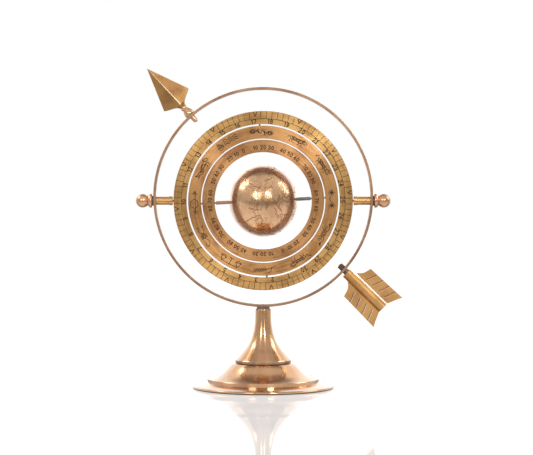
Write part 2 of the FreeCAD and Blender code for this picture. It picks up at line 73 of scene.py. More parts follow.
EDGE_BREAK_MM = 0.25
RING_SECTORS = 180
RING_CUT_MM = 0.32              # engraving depth in the rings
GLOBE_CUT_MM = 0.16             # engraving depth in the globe
CDT_EPSILON = 1e-5
WELD = 2e-6                     # points nearer than this are one point
SHARP_EDGE = math.radians(28)
ROUND_END_CORNERS = 6           # corners of the disc at the end of an engraved stroke
CURVE_STEPS = 4                 # straight pieces between two points of a soft curve

# Noise cells per metre
STREAKS = 2600.0
BROAD_STREAKS = 520.0
BLOTCHES = 38.0
SPECKS = 520.0
DENTS = 95.0


# ---- Node graphs ----

class Graph:
    """The empty node tree of a material or a world, with short calls for the nodes in common use."""

    def __init__(self, owner):
        owner.use_nodes = True
        self.owner = owner
        self.tree = owner.node_tree
        self.tree.nodes.clear()

    def node(self, kind, inputs=None, **settings):
        made = self.tree.nodes.new(kind)
        for key, value in settings.items():
            setattr(made, key, value)
        for socket, value in (inputs or {}).items():
            self.feed(made.inputs[socket], value)
        return made

    def feed(self, socket, value):
        if isinstance(value, bpy.types.NodeSocket):
            self.tree.links.new(value, socket)
        elif socket.type == "RGBA" and len(value) == 3:
            socket.default_value = (*value, 1)
        else:
            socket.default_value = value

    def math(self, operation, a, b=0.0, clamp=False):
        made = self.node("ShaderNodeMath", {0: a, 1: b}, operation=operation, use_clamp=clamp)
        return made.outputs[0]

    def vector(self, x, y, z):
        return self.node("ShaderNodeCombineXYZ", {0: x, 1: y, 2: z}).outputs[0]

    def noise(self, place, scale, detail=3.0, roughness=0.55):
        inputs = {"Vector": place, "Scale": scale, "Detail": detail, "Roughness": roughness}
        return self.node("ShaderNodeTexNoise", inputs).outputs["Fac"]

    def span(self, value, low, high, to_low=0.0, to_high=1.0):
        """Stretches a value from one range to another, smoothly and clamped."""
        inputs = {"Value": value, "From Min": low, "From Max": high, "To Min": to_low, "To Max": to_high}
        made = self.node("ShaderNodeMapRange", inputs, interpolation_type="SMOOTHSTEP")
        return made.outputs["Result"]

    def mix(self, share, first, second):
        made = self.node("ShaderNodeMix", {0: share}, data_type="RGBA")
        self.feed(made.inputs[6], first)
        self.feed(made.inputs[7], second)
        return made.outputs[2]

    def bump(self, height, strength, depth_mm, under=None):
        """Surface relief, on top of another relief if one is given."""
        inputs = {"Strength": strength, "Distance": depth_mm * MM, "Height": height}
        if under:
            inputs["Normal"] = under
        return self.node("ShaderNodeBump", inputs).outputs[0]

    def open_air(self, reach):
        """One where nothing is near the surface, less where something is within reach."""
        return self.node("ShaderNodeAmbientOcclusion", {"Distance": reach}, samples=8).outputs["AO"]

    def place(self):
        """Position in the row frame at rest; it rides with the piece."""
        return self.node("ShaderNodeTexCoord").outputs["Object"]

    def split(self, vector):
        made = self.node("ShaderNodeSeparateXYZ", {0: vector})
        return made.outputs[0], made.outputs[1], made.outputs[2]

    def surface(self, shader, kind="ShaderNodeOutputMaterial"):
        """Ends the tree with a shader."""
        self.node(kind, {"Surface": shader.outputs[0]})
        return self.owner

    def shine(self, **sockets):
        """Ends the tree with a Principled shader that has the given sockets."""
        names = {key.replace("_", " "): value for key, value in sockets.items()}
        return self.surface(self.node("ShaderNodeBsdfPrincipled", names))


def finish_graph(name):
    return Graph(bpy.data.materials.new(name))


def scaled(colour, factor):
    return tuple(min(1.0, channel * factor) for channel in colour)


def tool_marks(g, axis):
    """Coordinates that change slowly along the marks of a tool, so that noise becomes streaks.
    axis is X, Y or Z for marks that run round that line through the pivot, else BLADE or none."""
    place = g.place()
    x, y, z = g.split(place)
    z = g.math("SUBTRACT", z, PIVOT.z)
    if axis == "BLADE":
        along = g.math("MULTIPLY", g.math("SUBTRACT", z, x), 0.06)
        return g.vector(along, g.math("ADD", z, x), y)
    if axis not in ("X", "Y", "Z"):
        return place
    along, a, b = {"X": (x, y, z), "Y": (y, x, z), "Z": (z, x, y)}[axis]
    radius = g.math("SQRT", g.math("ADD", g.math("MULTIPLY", a, a), g.math("MULTIPLY", b, b)))
    turn = g.math("MULTIPLY", g.math("ARCTAN2", b, a), 0.003)
    return g.vector(radius, along, turn)


def etching(g, place):
    """Fine engraved scrollwork: the level lines of a soft noise, broken into patches."""
    levels = g.math("MULTIPLY", g.noise(place, 120.0, 1.0), 30.0)
    wave = g.math("ABSOLUTE", g.math("SINE", levels))
    lines = g.span(wave, 0.2, 0.9)
    patches = g.span(g.noise(place, 60.0, 2.0), 0.5, 0.58)
    return g.math("MAXIMUM", lines, patches)


def aged_share(g, place, marks, streaks, patina, streak):
    """How far the metal has aged at each spot: blotches, drawn out along the tool's marks."""
    share = g.span(g.noise(place, BLOTCHES, 5.0, 0.62), 0.15 + patina * 0.35, 0.5 + patina * 0.35, 1.0, 0.0)
    broad = g.math("SUBTRACT", g.noise(marks, BROAD_STREAKS, 3.0), 0.5)
    lines = g.math("ADD", broad, g.math("SUBTRACT", streaks, 0.5))
    return g.math("ADD", share, g.math("MULTIPLY", lines, streak * 1.5), True)


def rub_edges(g, colour, bright, wear):
    """Lightens the metal along its edges, where hands rub it."""
    corner = g.node("ShaderNodeBevel", {"Radius": 0.35 * MM}, samples=4).outputs[0]
    normal = g.node("ShaderNodeNewGeometry").outputs["Normal"]
    facing = g.node("ShaderNodeVectorMath", {0: corner, 1: normal}, operation="DOT_PRODUCT")
    rubbed = g.span(facing.outputs["Value"], 0.995, 0.86, 0.0, wear)
    return g.mix(rubbed, colour, tuple(min(1.0, channel * 1.25 + 0.05) for channel in bright))


def file_ridges(g, colour, bright):
    """Paints a highlight on the narrow faces that a file has left square to the front."""
    normal = g.node("ShaderNodeNewGeometry").outputs["Normal"]
    _, square, _ = g.split(normal)
    ridge = g.span(g.math("ABSOLUTE", square), 0.975, 0.99)
    return g.mix(ridge, colour, tuple(channel**0.5 for channel in bright))


def darken_gaps(g, colour, dull, reach_mm):
    """Painted shade: darkens the metal beside another surface."""
    gap = g.span(g.open_air(reach_mm * MM), 0.88, 0.68, 0.0, 0.9)
    return g.mix(gap, colour, scaled(dull, 0.25))


def groove_and_rib(g, colour, sunk_mm, dull):
    """Painted shade in each groove, most on its faces turned right, and a painted highlight on its faces
    turned left; a painted highlight on the rib's flank turned up and right, and painted shade on faces
    turned down and left. sunk_mm is how far the grooves' floor, the vane's face and the end of the
    rib's highlighted flank lie from the middle plane."""
    floor_at, face_at, lit_flank_to = (MM * value for value in sunk_mm)
    highlight_tone = (1.0, 0.93, 0.85)
    shade_tone = scaled(dull, 0.3)
    _, y, _ = g.split(g.place())
    depth = g.math("ABSOLUTE", y)
    right, front, up = g.split(g.node("ShaderNodeNewGeometry").outputs["True Normal"])
    sunk = g.span(depth, floor_at, face_at, 1.0, 0.0)
    # Painted shade in the grooves, most on faces turned right, then a painted highlight on those turned
    # left.
    colour = g.mix(g.math("MULTIPLY", sunk, g.span(right, -0.1, 0.1, 0.45, 1.0)), colour, shade_tone)
    colour = g.mix(g.math("MULTIPLY", sunk, g.span(right, -0.1, -0.3, 0.0, 0.5)), colour, highlight_tone)
    across = g.math("ADD", right, up)
    across = g.math("MULTIPLY", across, g.span(g.math("ABSOLUTE", front), 0.15, 0.25))
    # Painted highlight on the rib's flank turned up and right.
    lit_flank = g.span(depth, lit_flank_to, lit_flank_to + 0.1 * MM, 1.0, 0.0)
    colour = g.mix(g.math("MULTIPLY", lit_flank, g.span(across, 0.35, 0.6)), colour, highlight_tone)
    # Painted shade on faces turned down and left.
    return g.mix(g.span(across, -0.35, -0.7, 0.0, 0.3), colour, shade_tone)


def metal(name, bright, dull, rough, axis="", patina=0.5, streak=0.5, bump=0.15, wear=0.3,
          anisotropy=0.0, coat=0.0, coat_ior=1.6, dents=0.0, etched=0.0, ridge_highlight=False, sunk_mm=None,
          gap_shade_mm=0.0, in_mirrors=None):
    """Worked metal: streaks along the tool's marks, blotches of patina, and rubbed bright edges.
    bright and dull are the clean and the aged colour; patina is how much of it has aged.
    filed paints a highlight on faces square to the front; sunk_mm gives the depths of a grooved vane,
    for its painted shade and highlights; gap_shade_mm is how near another surface has to be for painted
    shade on the metal between them; in_mirrors is a painted shade: the colour that the metal has in other
    pieces' reflections."""
    g = finish_graph(name)
    place = g.place()
    marks = tool_marks(g, axis)
    streaks = g.noise(marks, STREAKS, 2.0)
    specks = g.noise(place, SPECKS, 2.0, 0.7)
    aged = aged_share(g, place, marks, streaks, patina, streak)
    colour = g.mix(g.math("MULTIPLY", aged, 0.85), bright, dull)
    colour = g.mix(g.span(specks, 0.63, 0.75, 0.0, 0.5 * patina), colour, scaled(dull, 0.45))
    colour = rub_edges(g, colour, bright, wear)
    if ridge_highlight:
        # Painted highlight on the faces square to the front.
        colour = file_ridges(g, colour, bright)
    if sunk_mm:
        # Painted shade and highlights on the grooves and the rib.
        colour = groove_and_rib(g, colour, sunk_mm, dull)
    if gap_shade_mm:
        # Painted shade where another surface is near.
        colour = darken_gaps(g, colour, dull, gap_shade_mm)
    if in_mirrors:
        # Painted shade: glossy rays see the metal in the in_mirrors colour.
        mirrored_ray = g.node("ShaderNodeLightPath").outputs["Is Glossy Ray"]
        colour = g.mix(mirrored_ray, colour, in_mirrors)
    height = g.math("ADD", g.math("MULTIPLY", streaks, streak), g.math("MULTIPLY", specks, 0.3))
    relief = g.bump(height, bump, 0.12)
    if dents:
        relief = g.bump(g.noise(place, DENTS, 2.0), dents, 1.0, relief)
    if etched:
        lines = etching(g, place)
        relief = g.bump(lines, 0.15 * etched, 0.2, relief)
        colour = g.mix(g.span(lines, 0.0, 0.8, 0.4 * etched, 0.0), colour, scaled(dull, 0.4))
    roughness = g.math("ADD", rough, g.math("MULTIPLY", g.math("SUBTRACT", streaks, 0.5), 0.18 * streak))
    roughness = g.math("ADD", roughness, g.math("MULTIPLY", aged, 0.08), True)
    sockets = {"Base_Color": colour, "Metallic": 1.0, "Roughness": roughness, "Normal": relief}
    if coat:
        sockets["Coat_Weight"] = coat
        sockets["Coat_Roughness"] = 0.07
        sockets["Coat_IOR"] = coat_ior
    if anisotropy:
        tangent = g.node("ShaderNodeTangent", direction_type="RADIAL", axis=axis)
        sockets["Anisotropic"] = anisotropy
        sockets["Anisotropic_Rotation"] = 0.25
        sockets["Tangent"] = tangent.outputs[0]
    return g.shine(**sockets)


def engraving_black(name, colour):
    """Dark wax and patina left in the engraving, uneven, with bare metal showing through."""
    g = finish_graph(name)
    place = g.place()
    bare = g.span(g.noise(place, 900.0, 3.0, 0.6), 0.58, 0.75, 0.0, 0.6)
    tint = g.mix(bare, colour, scaled(colour, 3.2))
    return g.shine(Base_Color=tint, Metallic=g.math("MULTIPLY", bare, 0.8), Roughness=0.62,
                   Specular_IOR_Level=0.2)


def felt():
    """Dark green felt with loose fibres."""
    g = finish_graph("felt")
    fibres = g.noise(g.place(), 1500.0, 6.0, 0.75)
    colour = g.mix(fibres, (0.012, 0.02, 0.016), (0.045, 0.06, 0.05))
    return g.shine(Base_Color=colour, Roughness=0.95, Sheen_Weight=0.6, Normal=g.bump(fibres, 0.8, 0.3))


# ---- Flat engraving: shapes are lists of (x, y) corners in millimetres, counter-clockwise ----

def disc(centre, radius):
    """Round end of a stroke."""
    turns = [math.tau * k / ROUND_END_CORNERS for k in range(ROUND_END_CORNERS)]
    return [(centre[0] + radius * math.cos(a), centre[1] + radius * math.sin(a)) for a in turns]


def stroke(points, width):
    """Shapes that cover a line of the given width through the points."""
    half = width / 2
    shapes = [disc(point, half) for point in points]
    for (ax, ay), (bx, by) in zip(points, points[1:]):
        length = math.hypot(bx - ax, by - ay)
        nx = -(by - ay) / length * half
        ny = (bx - ax) / length * half
        shapes.append([(ax + nx, ay + ny), (ax - nx, ay - ny), (bx - nx, by - ny), (bx + nx, by + ny)])
    return shapes


def smooth(points, closed=False):
    """Points along a soft curve through the given points."""
    count = len(points)
    spans = count if closed else count - 1

    def at(index):
        return points[index % count] if closed else points[max(0, min(count - 1, index))]

    curve = []
    for k in range(spans):
        before, start, end, after = at(k - 1), at(k), at(k + 1), at(k + 2)
        for step in range(CURVE_STEPS):
            t = step / CURVE_STEPS
            curve.append(tuple(
                0.5 * (2 * b + (c - a) * t + (2 * a - 5 * b + 4 * c - d) * t * t
                       + (3 * b - a - 3 * c + d) * t ** 3)
                for a, b, c, d in zip(before, start, end, after)
            ))
    curve.append(at(spans))
    return curve


def bent(shapes, radius, degrees):
    """Lays flat shapes along a circle: their up points outward at the given angle."""
    middle = math.radians(degrees)
    return [
        [((radius + y) * math.cos(middle - x / radius), (radius + y) * math.sin(middle - x / radius))
         for x, y in shape]
        for shape in shapes
    ]


def digit_lines():
    """The ten digits as lines, one unit high, starting at x = 0, each with its width."""
    three_low = smooth([(0.22, 0.54), (0.58, 0.29), (0.28, 0.0), (0.0, 0.16)])
    hook = smooth([(0.5, 0.96), (0.16, 0.72), (0.02, 0.3), (0.3, 0.0), (0.58, 0.3), (0.3, 0.58),
                   (0.05, 0.36)])
    two_top = smooth([(0.02, 0.74), (0.29, 1.0), (0.56, 0.74), (0.34, 0.4), (0.0, 0.0)])
    low_loop = smooth([(0.3, 0.54), (0.01, 0.27), (0.3, 0.0), (0.59, 0.27)], closed=True)
    high_loop = smooth([(0.3, 1.0), (0.06, 0.77), (0.3, 0.54), (0.54, 0.77)], closed=True)
    return [
        ([smooth([(0.3, 1.0), (0.0, 0.5), (0.3, 0.0), (0.6, 0.5)], closed=True)], 0.6),
        ([[(0.0, 0.78), (0.24, 1.0), (0.24, 0.0)]], 0.3),
        ([two_top, [(0.0, 0.0), (0.6, 0.0)]], 0.6),
        ([smooth([(0.02, 0.86), (0.28, 1.0), (0.54, 0.77), (0.22, 0.54)]), three_low], 0.58),
        ([[(0.44, 0.0), (0.44, 1.0), (0.0, 0.3), (0.6, 0.3)]], 0.6),
        ([[(0.52, 1.0), (0.1, 1.0), (0.05, 0.55)],
          smooth([(0.05, 0.55), (0.32, 0.63), (0.58, 0.32), (0.28, 0.0), (0.0, 0.14)])], 0.58),
        ([hook], 0.58),
        ([[(0.0, 1.0), (0.58, 1.0), (0.2, 0.0)]], 0.58),
        ([low_loop, high_loop], 0.6),
        ([[(0.58 - x, 1.0 - y) for x, y in hook]], 0.58),
    ]


DIGITS = digit_lines()


def number(value, height, width):
    """A number centred on zero, drawn with a round-ended cutter of the given width."""
    gap = width + 0.08 * height
    glyphs = [DIGITS[int(digit)] for digit in str(value)]
    left = -(sum(glyph[1] * height for glyph in glyphs) + gap * (len(glyphs) - 1)) / 2
    shapes = []
    for lines, glyph_width in glyphs:
        for line in lines:
            shapes += stroke([(left + x * height, (y - 0.5) * height) for x, y in line], width)
        left += glyph_width * height + gap
    return shapes


def circle_line(radius, width):
    """A line right round a ring."""
    low, high = radius - width / 2, radius + width / 2
    angles = [math.tau * k / RING_SECTORS for k in range(RING_SECTORS + 1)]
    return [
        [(low * math.cos(a), low * math.sin(a)), (high * math.cos(a), high * math.sin(a)),
         (high * math.cos(b), high * math.sin(b)), (low * math.cos(b), low * math.sin(b))]
        for a, b in zip(angles, angles[1:])
    ]


# ---- Engraved surfaces ----

class Engraving:
    """Collects the faces of one piece: plain face, sunk floor and the walls between them."""

    PLAIN, SUNK = 0, 1

    def __init__(self):
        self.points = []
        self.faces = []
        self.kinds = []

    def point(self, position):
        self.points.append(position)
        return len(self.points) - 1

    def face(self, corners, kind=PLAIN):
        self.faces.append(corners)
        self.kinds.append(kind)

    def cut(self, tiles, shapes, to_surface):
        """Triangulates the tiles, with the shapes sunk into them.
        to_surface(x, y, sunk) turns a flat point into a place on the piece."""
        flat, loops = [], []
        for outline in tiles + shapes:
            loops.append(list(range(len(flat), len(flat) + len(outline))))
            flat += [Vector(corner) for corner in outline]
        flat, _, triangles, _, _, sources = delaunay_2d_cdt(flat, [], loops, 1, CDT_EPSILON)
        top, low, sides = {}, {}, {}
        for corners, source in zip(triangles, sources):
            if not source or min(source) >= len(tiles):
                continue
            sunk = max(source) >= len(tiles)
            level = low if sunk else top
            for v in corners:
                if v not in level:
                    level[v] = self.point(to_surface(flat[v].x, flat[v].y, sunk))
            self.face([level[v] for v in corners], self.SUNK if sunk else self.PLAIN)
            for a, b in zip(corners, corners[1:] + corners[:1]):
                sides[a, b] = sunk
        for (a, b), sunk in sides.items():
            if not sunk and sides.get((b, a)):
                self.face([top[b], top[a], low[a], low[b]], self.SUNK)

    def lathe(self, loops):
        """Joins closed loops of points, each to the next, with quads."""
        rows = [[self.point(position) for position in loop] for loop in loops]
        for row, after in zip(rows, rows[1:]):
            for k in range(len(row)):
                n = (k + 1) % len(row)
                self.face([row[k], row[n], after[n], after[k]])

    def build(self, name, materials):
        """Makes the piece from its faces, smooth apart from its sharp edges."""
        mesh = bpy.data.meshes.new(name)
        mesh.from_pydata([tuple(p) for p in self.points], [], self.faces)
        mesh.polygons.foreach_set("material_index", self.kinds)
        work = bmesh.new()
        work.from_mesh(mesh)
        bmesh.ops.remove_doubles(work, verts=work.verts, dist=WELD)
        bmesh.ops.recalc_face_normals(work, faces=work.faces)
        work.to_mesh(mesh)
        work.free()
        mesh.shade_smooth()
        mesh.set_sharp_from_angle(angle=SHARP_EDGE)
        for material in materials:
            mesh.materials.append(material)
        piece = bpy.data.objects.new(name, mesh)
        bpy.context.scene.collection.objects.link(piece)
        return piece


def ring_size(node):
    """Inner radius, outer radius and half thickness of a ring, in millimetres."""
    spans = [math.hypot(v.co.x - PIVOT.x, v.co.z - PIVOT.z) for v in nodes[node].data.vertices]
    low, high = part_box(node)
    return min(spans) / MM, max(spans) / MM, (high.y - low.y) / 2 / MM


def engraved_ring(node, body, shapes, materials):
    """Stands for a ring node: both faces engraved, edges broken, pivot bores left to the pins."""
    inner, outer, half = ring_size(node)
    piece = Engraving()
    break_in, break_out = inner + EDGE_BREAK_MM, outer - EDGE_BREAK_MM
    angles = [math.tau * k / RING_SECTORS for k in range(RING_SECTORS)]
    tiles = [
        [(r * math.cos(a), r * math.sin(a)) for r, a in
         ((break_in, a0), (break_out, a0), (break_out, a1), (break_in, a1))]
        for a0, a1 in zip(angles, angles[1:] + angles[:1])
    ]
    for facing in (-1, 1):
        def to_face(x, y, sunk, facing=facing):
            depth = half - (RING_CUT_MM if sunk else 0.0)
            return PIVOT + Vector((-facing * x, facing * depth, y)) * MM
        piece.cut(tiles, shapes, to_face)

    def loop(radius, depth):
        return [PIVOT + Vector((radius * math.cos(a), depth, radius * math.sin(a))) * MM for a in angles]

    wall = half - EDGE_BREAK_MM
    piece.lathe([loop(break_out, -half), loop(outer, -wall), loop(outer, wall), loop(break_out, half)])
    piece.lathe([loop(break_in, -half), loop(inner, -wall), loop(inner, wall), loop(break_in, half)])
    ring = piece.build(node + "_engraved", materials)
    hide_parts(node)
    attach(ring, body)


# ---- What is cut into the rings ----

def pointer(tip, width):
    """A small V whose arms start at the ring's edge."""
    return [
        shape for side in (-1, 1)
        for shape in stroke([(side * 1.7, tip + 3.7), (0, tip)], width)
    ]


def hour_scale():
    """Outer ring: a line, short divisions outside it, pointers, and numbers inside it."""
    inner, outer, _ = ring_size("outer_ring")
    line_r = outer - 7.0
    line_y, edge_y = line_r - outer, -0.5
    divisions, per_pointer, first = 96, 8, 95.4
    numbers, eighteen_at = 30, 84.9
    shapes = circle_line(line_r, 0.4)
    for k in range(divisions):
        mark = stroke([(0, line_y), (0, edge_y)], 0.48) if k % per_pointer else pointer(edge_y - 4.0, 0.75)
        shapes += bent(mark, outer, first - k * 360 / divisions)
    number_r = (inner + line_r) / 2 + 0.05
    for value in range(1, numbers + 1):
        shapes += bent(number(value, 3.8, 0.75), number_r, eighteen_at - (value - 18) * 360 / numbers)
    return shapes


def degree_scale():
    """Inner ring: twelve groups of three numbers that count to ninety and back, by tens."""
    inner, outer, _ = ring_size("inner_ring")
    number_r = (inner + outer) / 2 - 1.2
    groups, spacing = 12, 8.4
    shapes = []
    for group in range(groups):
        group_at = 90 - group * 360 / groups
        for place in (0, 1, 2):
            turned = (30 * group + 10 * place + 10) % 180
            value = min(turned, 180 - turned)
            shapes += bent(number(value, 3.2, 0.7), number_r, group_at - spacing * (place - 1))
    return shapes


def mirrored(lines):
    """The lines and their left-right reflections."""
    return lines + [[(-x, y) for x, y in line] for line in lines]


def beast(extra):
    """A four-legged animal facing right, with its own head and tail lines."""
    body = smooth([(-6.4, 0.9), (-3.2, 2.2), (0.5, 1.5), (4.4, 2.3), (6.2, 0.6), (3.6, -1.0), (0, -0.5),
                   (-4, -1.0)], closed=True)
    legs = [
        [(-5.0, -0.8), (-6.2, -2.2), (-5.4, -3.4)],
        [(-3.6, -0.9), (-3.4, -2.2), (-2.4, -3.4)],
        [(3.2, -1.0), (3.6, -2.4), (2.8, -3.4)],
        [(4.8, -0.3), (6.6, -1.8), (6.2, -3.2)],
    ]
    shading = [[(x, 1.4), (x + 0.7, -0.3)] for x in (-4.4, -3.0, 2.2, 3.6)]
    return [body] + legs + shading + extra


def figures():
    """Twelve small figures, each a list of lines in millimetres, about 22 wide and 7 high."""
    fish = [
        smooth([(-10.8, 0.8), (-8.2, 2.7), (-4.4, 1.0), (-8.2, -0.9)], closed=True),
        [(-4.4, 1.0), (-2.4, 2.8), (-3.2, 1.0), (-2.4, -0.8), (-4.4, 1.0)],
        [(-9.2, 2.0), (-8.6, 0.9), (-9.2, -0.1)],
        [(-7.4, 1.9), (-6.0, 0.9)],
        [(-7.6, -0.2), (-6.0, 0.4)],
    ]
    fishes = fish + [[(-x, -y) for x, y in line] for line in fish]
    fishes.append(smooth([(-2.8, 1.0), (-0.9, -1.5), (0.9, 1.5), (2.8, -1.0)]))
    ram = beast([
        smooth([(5.6, 1.6), (7.8, 3.2), (10.2, 2.4), (10.4, 1.2), (8.2, 0.6), (6.2, 0.2)]),
        smooth([(8.4, 3.1), (6.6, 3.5), (5.6, 2.4), (6.8, 1.4), (7.8, 2.2), (7.0, 2.6)]),
        smooth([(-6.4, 0.9), (-7.8, 0.7), (-8.0, -0.8)]),
    ])
    bull = beast([
        smooth([(5.2, 1.9), (7.6, 2.4), (9.9, 0.6), (9.4, -0.6), (7.4, -0.2), (6.0, 0.2)]),
        smooth([(7.2, 2.4), (7.0, 3.5), (9.4, 3.4)]),
        smooth([(8.2, 2.2), (9.6, 2.4), (10.6, 3.5)]),
        smooth([(-6.4, 1.2), (-8.6, 2.6), (-9.6, 0.6), (-10.6, 1.2)]),
    ])
    lion = beast([
        smooth([(5.0, 2.4), (6.2, 3.5), (8.4, 3.2), (9.6, 1.6), (8.6, 0.0), (6.4, -0.3), (4.9, 0.9)]),
        smooth([(6.4, 2.6), (8.0, 2.4), (8.4, 1.2), (7.0, 0.6)]),
        smooth([(-6.4, 1.2), (-8.4, 0.4), (-9.2, 2.4), (-10.8, 2.9)]),
        [(-10.2, 3.4), (-10.8, 2.9), (-10.3, 2.2)],
    ])
    star = [
        [(-5.8, 3.2), (-5.8, -3.2)],
        [(-9.0, 0), (-2.6, 0)],
        [(-7.8, 2.0), (-3.8, -2.0)],
        [(-7.8, -2.0), (-3.8, 2.0)],
        smooth([(-7.0, 0), (-5.8, 1.2), (-4.6, 0), (-5.8, -1.2)], closed=True),
    ]
    stars = mirrored(star) + [smooth([(-2.4, -1.0), (0, -2.2), (2.4, -1.0)])]
    crab = mirrored([
        smooth([(-2.4, 1.4), (-5.6, 2.9), (-8.4, 1.9)]),
        smooth([(-8.4, 1.9), (-10.8, 3.3), (-9.8, 1.2), (-8.4, 1.9)]),
        [(-3.4, 0.2), (-6.2, 0.6), (-7.6, -0.8)],
        [(-3.2, -0.6), (-5.6, -0.9), (-6.8, -2.4)],
        [(-2.4, -1.3), (-4.2, -2.2), (-4.8, -3.4)],
        [(-0.9, 0.9), (-0.9, -0.8)],
    ]) + [smooth([(-3.6, 0), (0, 2.1), (3.6, 0), (0, -2.1)], closed=True)]
    ear = [smooth([(-10.6, -2.4), (-2, -0.4), (9.8, 1.0)])]
    for k in range(7):
        x, y = -1.6 + 1.7 * k, -0.3 + 0.22 * k
        ear += [[(x, y), (x + 1.7, y + 1.9)], [(x, y), (x + 2.0, y - 1.5)]]
    ear.append(smooth([(-6.4, -1.5), (-5.0, 1.8), (-2.6, 3.0)]))
    scales = mirrored([
        [(0, 2.6), (-7.6, 2.9)],
        [(-7.6, 2.9), (-10.4, -1.3), (-4.8, -1.3), (-7.6, 2.9)],
        smooth([(-10.4, -1.3), (-7.6, -2.9), (-4.8, -1.3)]),
    ]) + [[(0, 3.4), (0, -3.0)], [(-2.4, -3.2), (2.4, -3.2)]]
    scorpion = [
        smooth([(-1.6, 0), (-0.4, 1.4), (2.4, 1.1), (3.4, 0), (2.4, -1.1), (-0.4, -1.4)], closed=True),
        smooth([(-1.6, 0), (-4.6, -1.4), (-8.0, -0.6), (-9.4, 1.6), (-7.2, 3.0), (-5.8, 2.0)]),
        smooth([(3.2, 0.6), (5.8, 2.6), (8.4, 2.0), (10.2, 3.2)]),
        smooth([(3.2, -0.6), (5.8, -2.6), (8.4, -2.0), (10.2, -3.2)]),
        [(8.4, 2.0), (10.0, 1.4)],
        [(8.4, -2.0), (10.0, -1.4)],
    ]
    for x in (-0.6, 0.8, 2.2):
        scorpion += [[(x, 1.2), (x - 0.8, 3.0)], [(x, -1.2), (x - 0.8, -3.0)]]
    bow = [
        smooth([(-3.4, 3.4), (0.8, 2.8), (2.9, 0), (0.8, -2.8), (-3.4, -3.4)]),
        [(-3.4, 3.4), (-5.4, 0), (-3.4, -3.4)],
        [(-10.4, 0), (10.2, 0)],
        [(7.4, 1.8), (10.4, 0), (7.4, -1.8), (8.2, 0), (7.4, 1.8)],
        [(-10.6, 1.6), (-8.6, 0), (-10.6, -1.6)],
        [(-8.8, 1.6), (-6.8, 0), (-8.8, -1.6)],
    ]
    sea_goat = [
        smooth([(2.6, 2.0), (5.0, 2.2), (6.4, 0.4), (4.0, -0.9), (0, -1.2), (-3.6, -2.4), (-6.8, -1.0),
                (-7.4, 1.0), (-6.0, 1.2), (-5.0, 0), (-2.6, 0.4), (0.4, 1.4)], closed=True),
        smooth([(4.8, 2.0), (7.0, 3.0), (9.4, 1.4), (8.2, 0.4), (6.0, 0.6)]),
        smooth([(7.0, 3.0), (6.0, 3.6), (4.2, 3.4)]),
        [(-7.2, 1.0), (-10.2, 2.9), (-8.6, 0.6), (-10.6, -0.6), (-7.2, -0.4)],
        [(4.8, -0.4), (7.2, -1.6), (6.6, -3.2)],
        [(3.4, -0.9), (4.6, -2.2), (3.4, -3.4)],
        [(-1.6, 0.4), (-1.2, -0.8)],
        [(-3.2, -0.2), (-3.4, -1.6)],
    ]
    jar = [
        smooth([(-8.6, 2.9), (-7.4, 1.2), (-5.0, 0.2), (-5.4, -2.4), (-8.2, -3.3), (-10.4, -1.6),
                (-9.8, 0.8)], closed=True),
        [(-9.4, 3.3), (-7.2, 2.3)],
        [(-9.6, -0.4), (-5.6, -1.2)],
    ]
    for level in (2.2, 0.2, -1.8):
        jar.append(smooth([(-3.2, level), (-1.2, level + 1.0), (1.2, level - 0.4), (3.6, level + 1.0),
                           (6.0, level - 0.4), (8.4, level + 1.0), (10.6, level)]))
    return [fishes, ram, bull, stars, crab, lion, ear, scales, scorpion, bow, sea_goat, jar]


def doubled(figure):
    """The figure with a second, smaller line inside each closed one, as an engraver shades it."""
    inner = []
    for line in figure:
        if line[0] == line[-1] and len(line) > 5:
            cx = sum(x for x, _ in line) / len(line)
            cy = sum(y for _, y in line) / len(line)
            inner.append([(cx + (x - cx) * 0.62, cy + (y - cy) * 0.45) for x, y in line])
    return figure + inner


def figure_band():
    """Middle ring: the twelve figures, evenly spaced."""
    inner, outer, _ = ring_size("middle_ring")
    band_r, first = (inner + outer) / 2 + 0.2, 91.5
    cast = figures()
    shapes = []
    for k, figure in enumerate(cast):
        lines = [shape for line in doubled(figure) for shape in stroke(line, 0.58)]
        shapes += bent(lines, band_r, first - k * 360 / len(cast))
    return shapes


# ---- Globe ----

COASTS = [
    [(-6, 35), (10, 37), (32, 31), (43, 12), (51, 11), (40, -4), (40, -16), (32, -28), (20, -35),
     (12, -18), (9, -2), (8, 4), (-8, 5), (-17, 14), (-13, 27)],
    [(-80, -5), (-77, 8), (-62, 10), (-50, 0), (-35, -7), (-40, -20), (-57, -36), (-66, -47),
     (-70, -54), (-74, -42), (-71, -20)],
    [(-164, 66), (-130, 70), (-95, 70), (-82, 62), (-94, 58), (-79, 52), (-65, 59), (-56, 51),
     (-70, 42), (-76, 35), (-81, 26), (-97, 27), (-91, 17), (-80, 9), (-94, 15), (-106, 21),
     (-117, 32), (-124, 44), (-134, 57), (-152, 60)],
    [(-9, 43), (-5, 37), (12, 44), (24, 36), (36, 36), (35, 29), (45, 13), (57, 22), (70, 22),
     (77, 8), (88, 22), (99, 9), (108, 12), (121, 30), (130, 43), (142, 56), (162, 61), (172, 68),
     (140, 73), (105, 77), (70, 71), (40, 66), (24, 71), (8, 60), (-2, 49)],
    [(114, -22), (123, -17), (136, -12), (146, -19), (153, -27), (149, -38), (138, -35), (116, -34)],
    [(-46, 61), (-22, 71), (-24, 81), (-58, 80), (-54, 69)],
]
GLOBE_TURN = 12                 # degrees the map is turned about the axle
COAST_WIDTH = 1.9               # degrees of arc, as are the scrolls' width and pitch
SCROLL_WIDTH = 1.45
SCROLL_PITCH = 2.2
SCROLLS = 90
GLOBE_COLUMNS = 72
GLOBE_ROWS = 17


